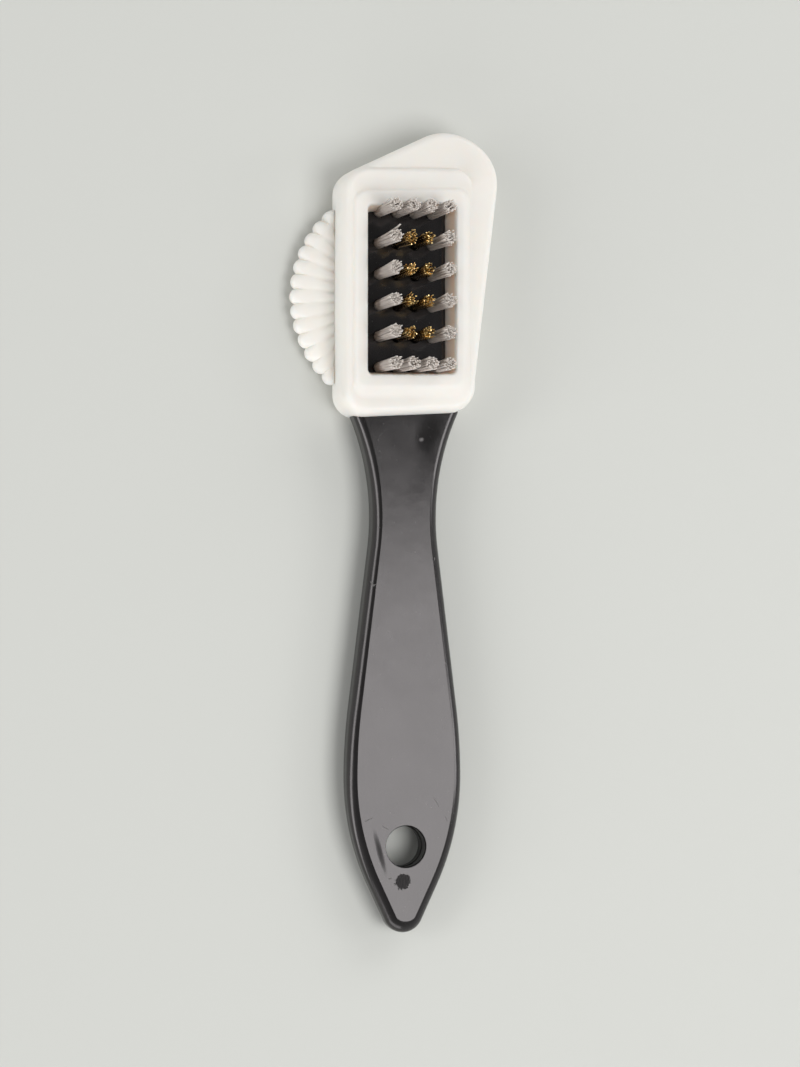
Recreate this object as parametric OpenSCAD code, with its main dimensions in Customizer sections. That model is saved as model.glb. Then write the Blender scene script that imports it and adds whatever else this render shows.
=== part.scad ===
// Shoe and suede brush: a moulded handle whose head plate holds tufts of nylon and brass,
// inside a soft rubber boot with a ribbed bump on one side and a flat fin on the other.
// The brush lies on its back. The origin is the middle of the head's flat back,
// +Z is the way the bristles point, and +Y runs along the brush towards the head's end.

/* [Boot] */
// Width of the boot's frame across the brush
frame_w = 30.4; // [29:0.2:34]
// Length of the boot's frame along the brush
frame_l = 53; // [52:0.5:60]
// Corner radius of the frame seen from the front
frame_corner_r = 5.5; // [4.5:0.1:7]
// Rounding of the frame's back edge
back_round = 2.7; // [1:0.1:3.5]
// Rounding of the frame's front edge, measured across
front_round_w = 1.7; // [0.8:0.1:1.8]
// Rounding of the frame's front edge, measured front to back
front_round_h = 3.5; // [1:0.1:4]
// Rubber behind the head plate
back_wall = 1.8; // [1:0.1:3]
// Rubber beside the head plate
side_wall = 2.2; // [1.4:0.1:3]
// Rubber at the two ends of the head plate
end_wall = 2.8; // [2:0.1:4]
// Height of the frame above the head plate
rim_h = 4.5; // [4:0.1:6]

/* [Window] */
// Width of the bristle window at its lip
window_w = 19.9; // [19:0.1:20.4]
// Length of the bristle window at its lip
window_l = 37.2; // [37:0.1:39]
// Corner radius of the window
window_corner_r = 1.2; // [0.6:0.1:2]
// How far each side wall of the window leans in at the plate
window_lean = 1; // [0:0.1:1.4]
// Width of the raised lip round the window
lip_w = 2.9; // [2:0.1:3]
// Height of the raised lip above the frame
lip_h = 1; // [0.4:0.1:1.5]

/* [Ribbed bump] */
// Number of ribs
ribs = 13; // [9:1:15]
// How far the middle rib stands out of the frame's side
bump_reach = 9.7; // [8:0.1:12]
// Radius of the arc that the rib tips lie on
bump_r = 25.5; // [24:0.5:32]
// Depth of the valley between two ribs at the tips
rib_depth = 0.9; // [0.4:0.1:1.2]
// Thickness of the bump from front to back
bump_t = 4.6; // [3:0.1:6]
// Shift of the bump's middle towards the handle
bump_shift = 1.6; // [0:0.1:2]

/* [Fin] */
// Radius of the fin's round tip
fin_r = 11.2; // [10:0.1:13]
// How far the fin stands out past the frame's end
fin_rise = 8.5; // [6:0.1:11]
// How far the fin stands out of the frame's side
fin_reach = 5.15; // [3:0.05:7]
// Angle of the fin's upper edge across the brush
fin_top_angle = 26.3; // [20:0.5:32]
// Angle of the fin's outer edge to the brush's length
fin_side_angle = 7.2; // [5:0.1:10]
// Thickness of the fin along its outer edge
fin_edge_t = 4; // [2.5:0.1:5]
// How far the fin's front lies below the frame's front at the head's end
fin_drop = 1.6; // [0.5:0.1:2.5]

/* [Handle] */
// Distance from the middle of the head to the tip of the handle
handle_reach = 139.8; // [125:0.5:165]
// Thickness of the handle where it leaves the boot
handle_t = 6.7; // [6:0.1:7.5]
// How much thinner the handle is at its tip
handle_taper = 1; // [0:0.1:1.5]
// Width of the handle where it leaves the boot
entry_w = 24.5; // [23:0.1:25.6]
// Narrowest width, at the neck
neck_w = 14.5; // [12:0.1:17]
// Distance from the boot to the narrowest place
neck_drop = 23; // [20:0.5:26]
// Widest width, at the grip
grip_w = 26; // [22:0.1:29]
// Distance from the widest place to the tip
grip_drop = 33.8; // [30:0.5:40]
// Radius of the sides above the widest place
grip_upper_r = 120; // [80:5:160]
// Radius of the sides below the widest place
grip_lower_r = 55; // [45:1:70]
// Radius of the tip in plan
tip_r = 4.5; // [3:0.1:6]
// Rounding of the handle's edges
edge_r = 2.2; // [1:0.1:2.6]
// Thickness of the head plate that holds the tufts
plate_t = 5.6; // [5:0.1:6.5]
// Step from the handle's back up to the head plate's back
plate_step = 0.1; // [0.05:0.05:0.5]
// Corner radius of the head plate
plate_corner_r = 4; // [2:0.1:5]

/* [Hang hole] */
// Diameter of the hole for hanging
hang_hole_d = 9; // [5:0.5:10]
// Distance from the hole's middle to the tip
hang_hole_inset = 18.7; // [15:0.1:24]

/* [Tufts] */
// Rows of tufts along the brush
rows = 6; // [4:1:6]
// Tufts in each row
columns = 4; // [3:1:4]
// Distance between two rows
row_pitch = 6.8; // [5.5:0.1:6.8]
// Distance between two tufts of a row
column_pitch = 4.03; // [3.8:0.01:4.3]
// Diameter of the blind hole that holds a tuft
tuft_hole_d = 2.5; // [2.3:0.1:2.8]
// Depth of the blind hole
tuft_hole_depth = 4; // [3.2:0.1:4.4]
// Length of the nylon out of the head plate
nylon_l = 13.5; // [11:0.1:16]
// Length of the brass out of the head plate
brass_l = 11.4; // [9:0.1:14]
// Strands in a nylon tuft
nylon_strands = 16; // [8:1:18]
// Strands in a brass tuft
brass_strands = 12; // [6:1:14]
// Thickness of a nylon strand across its corners
nylon_d = 0.38; // [0.2:0.01:0.38]
// Thickness of a brass strand across its corners
brass_d = 0.36; // [0.2:0.01:0.38]
// How much wider a nylon tuft is at its tips than at its root
nylon_splay = 1.3; // [1:0.05:1.4]
// How much wider a brass tuft is at its tips than at its root
brass_splay = 1.5; // [1:0.05:1.5]
// Gap between a tuft's root and the wall of its hole
root_gap = 0.05; // [0.02:0.01:0.1]
// Width of the flat wire that anchors a tuft
anchor_w = 2.2; // [1.8:0.05:2.2]
// Thickness of the anchor wire
anchor_t = 0.5; // [0.3:0.05:0.6]
// Height of the anchor wire
anchor_h = 1.4; // [1:0.1:1.8]

/* [Fit] */
// Gap between the boot and the plate and handle inside it
boot_gap = 0.05; // [0.02:0.01:0.1]

/* [Hidden] */
rubber_color = "#EEEAE2";
plastic_color = "#2B2A2B";
nylon_color = "#C9C8C6";
brass_color = "#A8803F";
anchor_color = "#B9B4A6";

// Levels above the head's back
shaft_z = back_wall;
plate_z = shaft_z + plate_step;
floor_z = plate_z + plate_t;
frame_z = floor_z + rim_h;
lip_z = frame_z + lip_h;
handle_top_z = shaft_z + handle_t;

// Places along the brush
frame_end = frame_l / 2;
tip_y = -handle_reach;
neck_y = -frame_end - neck_drop;
grip_y = tip_y + grip_drop;
hang_hole_y = tip_y + hang_hole_inset;
shaft_root_y = -frame_end + end_wall + 2;

plate_w = frame_w - 2 * side_wall - 2 * boot_gap;
plate_l = frame_l - 2 * end_wall - 2 * boot_gap;
tuft_hole_z = floor_z - tuft_hole_depth;
root_r = tuft_hole_d / 2 - root_gap;
lip_slope_w = 0.4;
front_inset = min(front_round_w, frame_w / 2 - window_w / 2 - lip_w - lip_slope_w);

function tuft_x(c) = (c - (columns + 1) / 2) * column_pitch;
function tuft_y(r) = ((rows + 1) / 2 - r) * row_pitch;
// Brass tufts fill the middle of the field, and nylon tufts stand all round them
function is_brass(r, c) = r > 1 && r < rows && c > 1 && c < columns;
function tuft_name(r, c) = str(is_brass(r, c) ? "brass_tuft_" : "nylon_tuft_", r, "_", c);

// A flat end of n points, laid in strips from side to side, with its points counted from start
function end_strips(n, start, turned) = [
    for (i = [0:floor((n - 1) / 2) - 1])
        let (strip = i + 1 == n - 2 - i ? [i, i + 1, n - 1 - i] : [i, i + 1, n - 2 - i, n - 1 - i])
        [for (k = [0:len(strip) - 1]) start + strip[turned ? len(strip) - 1 - k : k]]
];

// Triangles that join a stack of m rings of n points, with a flat face at each end
function ring_faces(n, m) = concat(
    end_strips(n, 0, false),
    [for (i = [0:m - 2]) for (j = [0:n - 1]) [i * n + j, (i + 1) * n + j, i * n + (j + 1) % n]],
    [for (i = [0:m - 2]) for (j = [0:n - 1])
        [i * n + (j + 1) % n, (i + 1) * n + j, (i + 1) * n + (j + 1) % n]],
    end_strips(n, (m - 1) * n, true)
);

module skin(rings) {
    n = len(rings[0]);
    m = len(rings);
    polyhedron(points = [for (ring = rings) each ring], faces = ring_faces(n, m), convexity = 8);
}

// Rounded rectangle of half width a, half length b and corner radius r at height z
corner_steps = 5;
function round_ring(a, b, r, z) = [
    for (q = [0:3]) for (k = [0:corner_steps])
        let (
            t = 90 * (q + k / corner_steps),
            sx = (q == 0 || q == 3) ? 1 : -1,
            sy = q < 2 ? 1 : -1
        )
        [sx * (a - r) + r * cos(t), sy * (b - r) + r * sin(t), z]
];

// Ring that follows the frame's outline, drawn in by d
function frame_ring(d, z) = round_ring(frame_w / 2 - d, frame_l / 2 - d, frame_corner_r - d, z);

// Ring that follows the window, drawn out by d
function window_ring(d, z) =
    round_ring(window_w / 2 + d, window_l / 2 + d, window_corner_r + d / 2, z);

module rounded_plate(w, l, r, h) {
    linear_extrude(h) {
        square([w - 2 * r, l], center = true);
        square([w, l - 2 * r], center = true);
        for (sx = [-1, 1]) {
            for (sy = [-1, 1]) {
                translate([sx * (w / 2 - r), sy * (l / 2 - r)]) circle(r, $fn = 48);
            }
        }
    }
}

// The boot's block: round back edge, sides, oval front edge, raised lip and window pocket
module boot_body() {
    lip_edge = 0.25;
    pocket_overlap = 0.3;
    back_rings = [
        for (t = [0:18:90]) frame_ring(back_round * (1 - sin(t)), back_round * (1 - cos(t)))
    ];
    front_rings = [
        for (t = [0:15:90])
            frame_ring(front_inset * (1 - cos(t)), frame_z - front_round_h * (1 - sin(t)))
    ];
    lip_rings = [
        window_ring(lip_w + lip_slope_w, frame_z),
        window_ring(lip_w, frame_z + lip_h * 0.75),
        window_ring(lip_w - lip_slope_w, lip_z),
        window_ring(lip_edge, lip_z),
        window_ring(0, lip_z - lip_edge)
    ];
    pocket_ring = round_ring(
        window_w / 2 - window_lean, window_l / 2 - 0.1, window_corner_r, floor_z - pocket_overlap
    );
    skin(concat(back_rings, front_rings, lip_rings, [pocket_ring]));
}

// Half thickness of the bump's section, round like a squashed ellipse: s runs from the frame
// at the front (90 degrees) out to the tip (0) and back to the frame at the back (-90)
function oval(t) = pow(abs(t), 2 / 3.4) * sign(t);

// The bump: ribs in planes through the arc's middle, deepest between their tips
module bump() {
    side_x = -frame_w / 2;
    middle_x = side_x - bump_reach + bump_r;
    half_angle = acos((middle_x - side_x + 0.4) / bump_r);
    steps = 4;
    section_steps = 10;
    inner_depth = side_wall;
    mid_z = bump_t / 2 + 0.4;
    front_valley = 0.35;
    rings = [
        for (i = [0:ribs * steps])
            let (
                t = half_angle - 2 * half_angle * i / (ribs * steps),
                s = ((i % steps) / steps - 0.5) * 2,
                valley = i % steps == 0 ? 1 : 1 - sqrt(1 - 0.8 * s * s),
                out_r = bump_r - rib_depth * valley,
                wall_r = min(out_r - 0.05, (middle_x - side_x) / cos(t)),
                half_t = bump_t / 2 - front_valley * valley
            )
            [
                for (k = [-1:section_steps + 1])
                    let (
                        u = 90 - 180 * min(max(k, 0), section_steps) / section_steps,
                        reach = (out_r - wall_r) * oval(cos(u)),
                        inside = (k == -1 || k == section_steps + 1) ? inner_depth : 0,
                        r = wall_r + reach - inside,
                        dip = 1 - 0.3 * pow(1 - oval(cos(u)), 3)
                    )
                    [middle_x - r * cos(t), r * sin(t) - bump_shift, mid_z + half_t * oval(sin(u)) * dip]
            ]
    ];
    skin(rings);
}

// The fin: a wedge round one corner of the frame, thick at the frame and thin at its edge
module fin() {
    tip_x = frame_w / 2 + fin_reach - fin_r;
    tip_top_y = frame_end + fin_rise - fin_r;
    anchor_x = frame_w / 2 - 4.4;
    anchor_y = frame_end - 5.5;
    top_dir = [-cos(fin_top_angle), -sin(fin_top_angle)];
    side_dir = [-sin(fin_side_angle), -cos(fin_side_angle)];
    top_start = [tip_x, tip_top_y] + fin_r * [cos(90 + fin_top_angle), sin(90 + fin_top_angle)];
    side_start = [tip_x, tip_top_y] + fin_r * [cos(fin_side_angle), -sin(fin_side_angle)];
    // Both straight edges run on until they are just inside the frame
    top_l = (top_start[1] - frame_end + 0.8) / sin(fin_top_angle);
    side_l = (side_start[0] - frame_w / 2 + 0.5) / sin(fin_side_angle);
    arc_steps = 14;
    line_steps = 5;
    outline = concat(
        [for (i = [0:line_steps - 1]) top_start + top_dir * top_l * (1 - i / line_steps)],
        [
            for (i = [0:arc_steps])
                let (t = 90 + fin_top_angle - (90 + fin_top_angle + fin_side_angle) * i / arc_steps)
                [tip_x, tip_top_y] + fin_r * [cos(t), sin(t)]
        ],
        [for (i = [1:line_steps]) side_start + side_dir * side_l * i / line_steps]
    );
    back_z = plate_z - 0.4;
    edge_slope = 0.12;
    rings = [
        for (p = outline)
            let (
                heart = [min(p[0], anchor_x), min(p[1], anchor_y)],
                root = heart + (p - heart) / norm(p - heart),
                turn = atan2(max(p[1] - anchor_y, 0), max(p[0] - anchor_x, 0.001)),
                low = pow(sin(min(90, max(0, turn - 15) * 1.6)), 2),
                root_z = frame_z - 0.05 - fin_drop * low,
                d = norm(p - root),
                dir = (p - root) / d,
                edge_z = root_z - edge_slope * d,
                round_r = fin_edge_t / 2
            )
            concat(
                [[root[0], root[1], back_z]],
                [
                    for (t = [-90:30:90])
                        [
                            p[0] - dir[0] * round_r * (1 - cos(t)),
                            p[1] - dir[1] * round_r * (1 - cos(t)),
                            edge_z - round_r * (1 - sin(t))
                        ]
                ],
                [[root[0], root[1], root_z]]
            )
    ];
    skin(rings);
}

// Outline of the handle's right side from the boot to the tip, each point with the way that
// its edge faces: neck arc, straight flank, two grip arcs, straight side and round tip
function arc_points(middle, r, from, to, steps, facing) = [
    for (i = [0:steps])
        let (t = from + (to - from) * i / steps)
        [middle[0] + r * facing * cos(t), middle[1] + r * facing * sin(t), cos(t), sin(t)]
];

neck_r = (pow(neck_drop, 2) + pow((entry_w - neck_w) / 2, 2)) / (entry_w - neck_w);
neck_mid = [neck_w / 2 + neck_r, neck_y];
upper_mid = [grip_w / 2 - grip_upper_r, grip_y];
lower_mid = [grip_w / 2 - grip_lower_r, grip_y];
tip_mid = [0, tip_y + tip_r];
// The flank touches both arcs, and so does the straight side above the tip
flank_gap = neck_mid - upper_mid;
flank_tilt = atan2(flank_gap[1], flank_gap[0])
    + asin((neck_r + grip_upper_r) / norm(flank_gap)) - 90;
tip_gap = tip_mid - lower_mid;
tip_tilt = atan2(tip_gap[1], tip_gap[0]) + acos((grip_lower_r - tip_r) / norm(tip_gap));
entry_tilt = -asin(neck_drop / neck_r);

half_outline = concat(
    [[entry_w / 2, shaft_root_y, 1, 0]],
    arc_points(neck_mid, neck_r, entry_tilt, flank_tilt, 8, -1),
    arc_points(upper_mid, grip_upper_r, flank_tilt, 0, 3, 1),
    arc_points(lower_mid, grip_lower_r, tip_tilt / 6, tip_tilt, 5, 1),
    arc_points(tip_mid, tip_r, tip_tilt - 4, -90, 5, 1)
);
outline = concat(
    half_outline,
    [for (i = [len(half_outline) - 2:-1:0])
        [-half_outline[i][0], half_outline[i][1], -half_outline[i][2], half_outline[i][3]]]
);

// Height of the handle's front face, which falls evenly from its root to the tip
function face_z(y) = handle_top_z - handle_taper * (shaft_root_y - y) / (shaft_root_y - tip_y);

// One ring of the handle, drawn in by d, at a share of the way up from its back to its face
function handle_ring(d, from_back, from_face) = [
    for (p = outline)
        let (
            x = p[0] - p[2] * d,
            y = p[1] - p[3] * d
        )
        [x, y, from_face == undef ? shaft_z + from_back : face_z(y) - from_face]
];

module shaft() {
    skin(concat(
        [for (t = [90:-22.5:0]) handle_ring(edge_r * (1 - cos(t)), undef, edge_r * (1 - sin(t)))],
        [for (t = [90:-22.5:0]) handle_ring(edge_r * (1 - sin(t)), edge_r * (1 - cos(t)), undef)]
    ));
}

// Section of the handle where it passes through the boot's end
module entry_section(grow) {
    r = edge_r + grow;
    w = entry_w + 2 * grow;
    t = handle_t + 2 * grow;
    square([w - 2 * r, t], center = true);
    square([w, t - 2 * r], center = true);
    for (sx = [-1, 1]) {
        for (sy = [-1, 1]) {
            translate([sx * (w / 2 - r), sy * (t / 2 - r)]) circle(r, $fn = 48);
        }
    }
}

module handle() {
    through = 20;
    color(plastic_color) difference() {
        union() {
            shaft();
            translate([0, 0, plate_z]) rounded_plate(plate_w, plate_l, plate_corner_r, plate_t);
        }
        translate([0, hang_hole_y, -through / 2]) cylinder(h = through, d = hang_hole_d, $fn = 64);
        for (r = [1:rows]) {
            for (c = [1:columns]) {
                translate([tuft_x(c), tuft_y(r), tuft_hole_z])
                    cylinder(h = through, d = tuft_hole_d, $fn = 32);
            }
        }
    }
}

module rubber_boot() {
    past = 1;
    slot_l = shaft_root_y + boot_gap + frame_end + past;
    color(rubber_color) difference() {
        union() {
            boot_body();
            bump();
            fin();
        }
        translate([0, 0, plate_z - boot_gap]) rounded_plate(
            plate_w + 2 * boot_gap, plate_l + 2 * boot_gap, plate_corner_r, plate_t + boot_gap
        );
        translate([0, -frame_end - past + slot_l, shaft_z + handle_t / 2])
            rotate([90, 0, 0]) linear_extrude(slot_l) entry_section(boot_gap);
    }
}

module anchor(grow) {
    w = anchor_w + 2 * grow;
    t = anchor_t + 2 * grow;
    translate([-w / 2, -t / 2, 0]) cube([w, t, anchor_h + grow]);
}

module tuft_anchors() {
    color(anchor_color) {
        for (r = [1:rows]) {
            for (c = [1:columns]) {
                translate([tuft_x(c), tuft_y(r), tuft_hole_z]) anchor(0);
            }
        }
    }
}

// A tuft: strands that spread out from a round root, which is notched over its anchor.
// The strands start on a spiral of equal steps, and lean out more the further out they are
module tuft(l, count, d, splay, twist) {
    golden_angle = 137.508;
    root_top = tuft_hole_depth - 0.5;
    foot_z = root_top - 0.4;
    field_r = root_r * cos(15) - d / 2 - 0.02;
    difference() {
        cylinder(h = root_top, r = root_r, $fn = 12);
        translate([0, 0, -0.1]) anchor(root_gap);
    }
    for (i = [0:count - 1]) {
        start_r = field_r * sqrt((i + 0.5) / count);
        bearing = twist + golden_angle * i;
        // Every fifth length is full, and the others fall short of it by up to a twentieth
        strand_l = (l + tuft_hole_depth - foot_z) * (1 - 0.05 * ((i * 3) % 5) / 4);
        lean = atan(start_r * (splay - 1) / l);
        rotate([0, 0, bearing]) translate([start_r, 0, foot_z]) rotate([0, lean, 0])
            cylinder(h = strand_l, d = d, $fn = 4);
    }
}

module tuft_at(r, c) {
    twist = 41 * r + 67 * c;
    translate([tuft_x(c), tuft_y(r), tuft_hole_z]) {
        if (is_brass(r, c)) {
            color(brass_color) tuft(brass_l, brass_strands, brass_d, brass_splay, twist);
        } else {
            color(nylon_color) tuft(nylon_l, nylon_strands, nylon_d, nylon_splay, twist);
        }
    }
}

handle();
rubber_boot();
tuft_anchors();
for (r = [1:rows]) {
    for (c = [1:columns]) {
        tuft_at(r, c);
    }
}
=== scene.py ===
"""Looks of a shoe and suede brush: moulded handle, rubber boot and tufts of nylon and brass.

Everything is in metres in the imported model's frame. The brush lies on its back, the bristles
point to +Z, +Y runs towards the head's end and +X lies on the fin's side.
"""

import math

import bpy
import numpy as np
from bpy.props import FloatProperty, IntProperty, PointerProperty, StringProperty
from mathutils import Matrix, Vector


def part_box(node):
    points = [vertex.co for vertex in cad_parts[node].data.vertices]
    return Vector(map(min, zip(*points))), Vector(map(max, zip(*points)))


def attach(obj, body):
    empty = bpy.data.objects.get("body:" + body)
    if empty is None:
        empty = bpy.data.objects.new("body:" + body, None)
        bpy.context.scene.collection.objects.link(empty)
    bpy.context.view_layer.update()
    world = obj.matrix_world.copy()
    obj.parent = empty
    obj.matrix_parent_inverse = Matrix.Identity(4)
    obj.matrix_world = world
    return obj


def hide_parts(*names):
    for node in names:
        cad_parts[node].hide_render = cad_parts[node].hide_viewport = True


bl_info = {
    "name": "Suede brush",
    "version": (1, 0, 0),
    "blender": (4, 5, 0),
    "location": "View3D > Sidebar > Brush",
    "description": "Builds a suede brush with a rubber boot and two kinds of bristle",
    "category": "Object",
}

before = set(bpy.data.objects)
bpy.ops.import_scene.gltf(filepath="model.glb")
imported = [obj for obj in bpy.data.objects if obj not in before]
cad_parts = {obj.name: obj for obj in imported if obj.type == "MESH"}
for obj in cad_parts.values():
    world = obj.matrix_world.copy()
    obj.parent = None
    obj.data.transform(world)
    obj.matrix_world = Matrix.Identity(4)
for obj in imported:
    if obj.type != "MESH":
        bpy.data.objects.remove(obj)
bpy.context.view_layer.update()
MM = 0.001
BOOT_GAP = 0.05 * MM
GOLDEN_ANGLE = math.radians(137.508)
CORNER_STEPS = 12

boot_low, boot_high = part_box("rubber_boot")
handle_low, handle_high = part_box("handle")


def length(name, description, mm):
    """A size that a user may change, given here in millimetres and kept in metres."""
    return FloatProperty(name=name, description=description, default=mm * MM, unit="LENGTH")


def angle(name, description, degrees):
    """An angle that a user may change, given here in degrees and kept in radians."""
    return FloatProperty(
        name=name, description=description, default=math.radians(degrees), subtype="ANGLE"
    )


def count(name, description, default):
    """A number of pieces that a user may change."""
    return IntProperty(name=name, description=description, default=default, min=1)


def number(name, description, default):
    """A plain number that a user may change."""
    return FloatProperty(name=name, description=description, default=default)


def colour(name, description, default):
    """A colour that a user may change, as an sRGB hex value."""
    return StringProperty(name=name, description=description, default=default)


class BootSizes(bpy.types.PropertyGroup):
    """Sizes of the rubber boot."""

    frame_w: length("Frame width", "Width of the frame across the brush", 30.4)
    frame_l: length("Frame length", "Length of the frame along the brush", 53)
    frame_r: length("Frame corner", "Corner radius of the frame seen from the front", 5.5)
    frame_z: length("Frame front", "Height of the frame's front face", 12)
    back_round: length("Back rounding", "Rounding of the frame's back edge", 2.7)
    front_round_w: length("Front rounding across", "Front edge's rounding, across", 1.7)
    front_round_h: length("Front rounding down", "Front edge's rounding, front to back", 3.5)
    window_w: length("Window width", "Width of the window at its lip", 19.9)
    window_l: length("Window length", "Length of the window at its lip", 37.2)
    window_r: length("Window corner", "Corner radius of the window", 1.2)
    window_lean: length("Window lean", "How far each wall leans in at the plate", 1)
    window_pull: length("Window pull", "How far the window is drawn out away from the fin", 0.25)
    lip_w: length("Lip width", "Width of the raised lip", 2.9)
    lip_slope: length("Lip slope", "Width of the slope down from the lip", 0.4)
    lip_ease_w: length("Lip ease across", "Extra width of the slope on the fin's side", 0.8)
    lip_ease_l: length("Lip ease along", "Extra width of the slope on the handle's side", 1.5)
    floor_z: length("Plate height", "Height of the plate in the window", 7.5)
    wall: length("Wall", "Rubber beside the head plate", 2.2)
    overhang: length("Overhang", "How far the stretched rubber reaches over the handle", 0.8)
    skew: number("Skew", "Rise of the rubber towards the fin", 0.045)
    skew_growth: number("Skew growth", "Rise that each metre along the brush adds", 0.8)
    end_skew: number("End skew", "Extra rise of the end over the handle", 0.04)
    ribs: count("Ribs", "Number of ribs on the bump", 13)
    bump_r: length("Bump radius", "Radius of the arc that the rib tips lie on", 25.5)
    rib_depth: length("Rib depth", "Depth of the valleys between the rib tips", 0.9)
    bump_t: length("Bump thickness", "Thickness of the bump from front to back", 4.6)
    bump_base: length("Bump base", "Height of the bump's underside", 0.4)
    bump_shift: length("Bump shift", "Shift of the bump's middle towards the handle", 1.6)
    fin_r: length("Fin radius", "Radius of the fin's round tip", 11.2)
    fin_top_angle: angle("Fin upper edge", "Angle of the upper edge across the brush", 26.3)
    fin_side_angle: angle("Fin outer edge", "Angle of the outer edge to the length", 7.2)
    fin_edge_t: length("Fin edge", "Thickness along the fin's outer edge", 4)
    fin_drop: length("Fin drop", "How far the fin lies below the frame's front", 1.1)
    fin_root_w: length("Fin root across", "How far in from the side the fin's root lies", 4.4)
    fin_root_l: length("Fin root along", "How far in from the end the fin's root lies", 5.5)


class HandleSizes(bpy.types.PropertyGroup):
    """Sizes of the handle."""

    taper: length("Taper", "How much thinner the handle is at its tip", 1)
    entry_w: length("Entry width", "Width where the handle leaves the boot", 24.5)
    neck_w: length("Neck width", "Narrowest width", 14.5)
    neck_drop: length("Neck place", "Distance from the boot to the narrowest place", 23)
    grip_drop: length("Grip place", "Distance from the widest place to the tip", 33.8)
    grip_upper_r: length("Upper grip", "Radius of the sides above the widest place", 120)
    grip_lower_r: length("Lower grip", "Radius of the sides below the widest place", 55)
    tip_r: length("Tip radius", "Radius of the tip in plan", 4.5)
    edge_r: length("Edge rounding", "Rounding of the edges", 2.2)
    edge_w: length("Front rounding", "Width of the front edge's rounding", 2.0)
    edge_w_neck: length("Front rounding at the boot", "Its width on the left at the boot", 1.5)
    edge_w_tip: length("Front rounding at the tip", "Its extra width round the tip", 0.55)
    root_depth: length("Root depth", "How far the shaft reaches into the boot", 4.8)
    plate_t: length("Plate thickness", "Thickness of the head plate", 5.6)
    plate_r: length("Plate corner", "Corner radius of the head plate", 4)
    hole_d: length("Hang hole", "Width of the hang hole at its rim", 9.3)
    hole_inset: length("Hang hole place", "Distance from the hole's middle to the tip", 18.7)
    hole_rim: length("Hole rim", "Width of the bevel round the hang hole", 0.2)
    hole_flash: length("Hole flash", "Height of the moulding ridge inside the hole", 0.12)


class BristleSizes(bpy.types.PropertyGroup):
    """Sizes of the bristle tufts."""

    rows: count("Rows", "Rows of tufts along the brush", 6)
    columns: count("Columns", "Tufts in each row", 4)
    row_pitch: length("Row pitch", "Distance between two rows", 6.8)
    column_pitch: length("Column pitch", "Distance between two tufts of a row", 4.03)
    hole_d: length("Tuft hole", "Diameter of the blind hole that holds a tuft", 2.5)
    hole_depth: length("Hole depth", "Depth of the blind hole", 4)
    nylon_l: length("Nylon length", "Length of the nylon out of the plate", 13.5)
    brass_l: length("Brass length", "Length of the brass out of the plate", 11.4)
    nylon_root: length("Nylon root", "Radius of a nylon tuft in its hole", 1.1)
    brass_root: length("Brass root", "Radius of a brass tuft in its hole", 1.0)
    nylon_spread: length("Nylon spread", "Radius of a nylon tuft at its tips", 1.38)
    brass_spread: length("Brass spread", "Radius of a brass tuft at its tips", 1.3)
    nylon_lean: length("Nylon lean", "How far a filament's tip strays by chance", 0.13)
    brass_lean: length("Brass lean", "How far a wire's tip strays by chance", 0.16)
    nylon_d: length("Nylon thickness", "Thickness of a nylon filament", 0.25)
    brass_d: length("Brass thickness", "Thickness of a brass wire", 0.25)
    nylon_count: count("Nylon filaments", "Filaments in a nylon tuft", 80)
    brass_count: count("Brass wires", "Wires in a brass tuft", 23)
    crimp_pitch: length("Crimp pitch", "Length of one wave of the crimped wire", 1.9)
    crimp_height: length("Crimp height", "How far a wave swings to each side", 0.2)


class Finishes(bpy.types.PropertyGroup):
    """Colours of the finishes, as sRGB hex values."""

    plastic: colour("Plastic", "Black moulded plastic", "#171616")
    plastic_worn: colour("Handled plastic", "Dusty, handled plastic", "#1E1D1D")
    # Also the colour of the painted highlight beside the neck
    dust: colour("Dust", "Dust and scuffs on the plastic", "#8C8A88")
    rubber: colour("Rubber", "Warm white rubber", "#F1EEE8")
    rubber_shade: colour("Rubber shade", "The rubber's darker clouds", "#EDE9E3")
    # Painted light: a warm glow on the window's walls, for light from the brass beside them
    painted_wall_glow: colour("Window walls", "Rubber that the brass beside it warms", "#F7E6D6")
    nylon: colour("Nylon", "Off-white nylon", "#E8E1DC")
    # Painted light: the filaments' top quarter, lighter where the tips stand in the light
    nylon_lit_tip: colour("Nylon tips", "Cut ends of the nylon", "#F8F4F0")
    brass: colour("Brass", "Bright brass wire", "#FBDD9C")
    # Painted shade: the dark brown of the wires lower down, for the shadow they stand in, not
    # tarnish
    brass_painted_shade: colour("Dull brass", "Tarnished brass wire", "#523816")
    anchor: colour("Anchor wire", "Tinned steel wire", "#B9B4A6")
    floor: colour("Floor", "Pale studio floor", "#D3D4CF")


class BrushSettings(bpy.types.PropertyGroup):
    """Everything that a user may change."""

    boot: PointerProperty(type=BootSizes)
    handle: PointerProperty(type=HandleSizes)
    bristles: PointerProperty(type=BristleSizes)
    finishes: PointerProperty(type=Finishes)


def settings():
    """The settings of the open scene."""
    return bpy.context.scene.brush_settings


# Shapes


def grid_faces(rings, points, closed):
    """Quads of a grid of rings by points. Closed joins each ring's last point to its first."""
    ring = np.arange(rings - 1)[:, None] * points
    here = np.arange(points if closed else points - 1)[None, :]
    there = (here + 1) % points
    quads = [ring + here, ring + there, ring + points + there, ring + points + here]
    return np.stack(quads, axis=-1).reshape(-1, 4)


def strip_faces(points, start, turned):
    """Quads that fill one flat ring in strips from its first points across to its last."""
    i = np.arange((points - 1) // 2)
    quads = np.stack([i, i + 1, points - 2 - i, points - 1 - i], axis=-1) + start
    return quads if turned else quads[:, ::-1]


def stack_faces(stack, points):
    """The faces of a stack of rings that is flat at both ends."""
    return [
        strip_faces(points, 0, False),
        grid_faces(stack, points, True),
        strip_faces(points, (stack - 1) * points, True),
    ]


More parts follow.
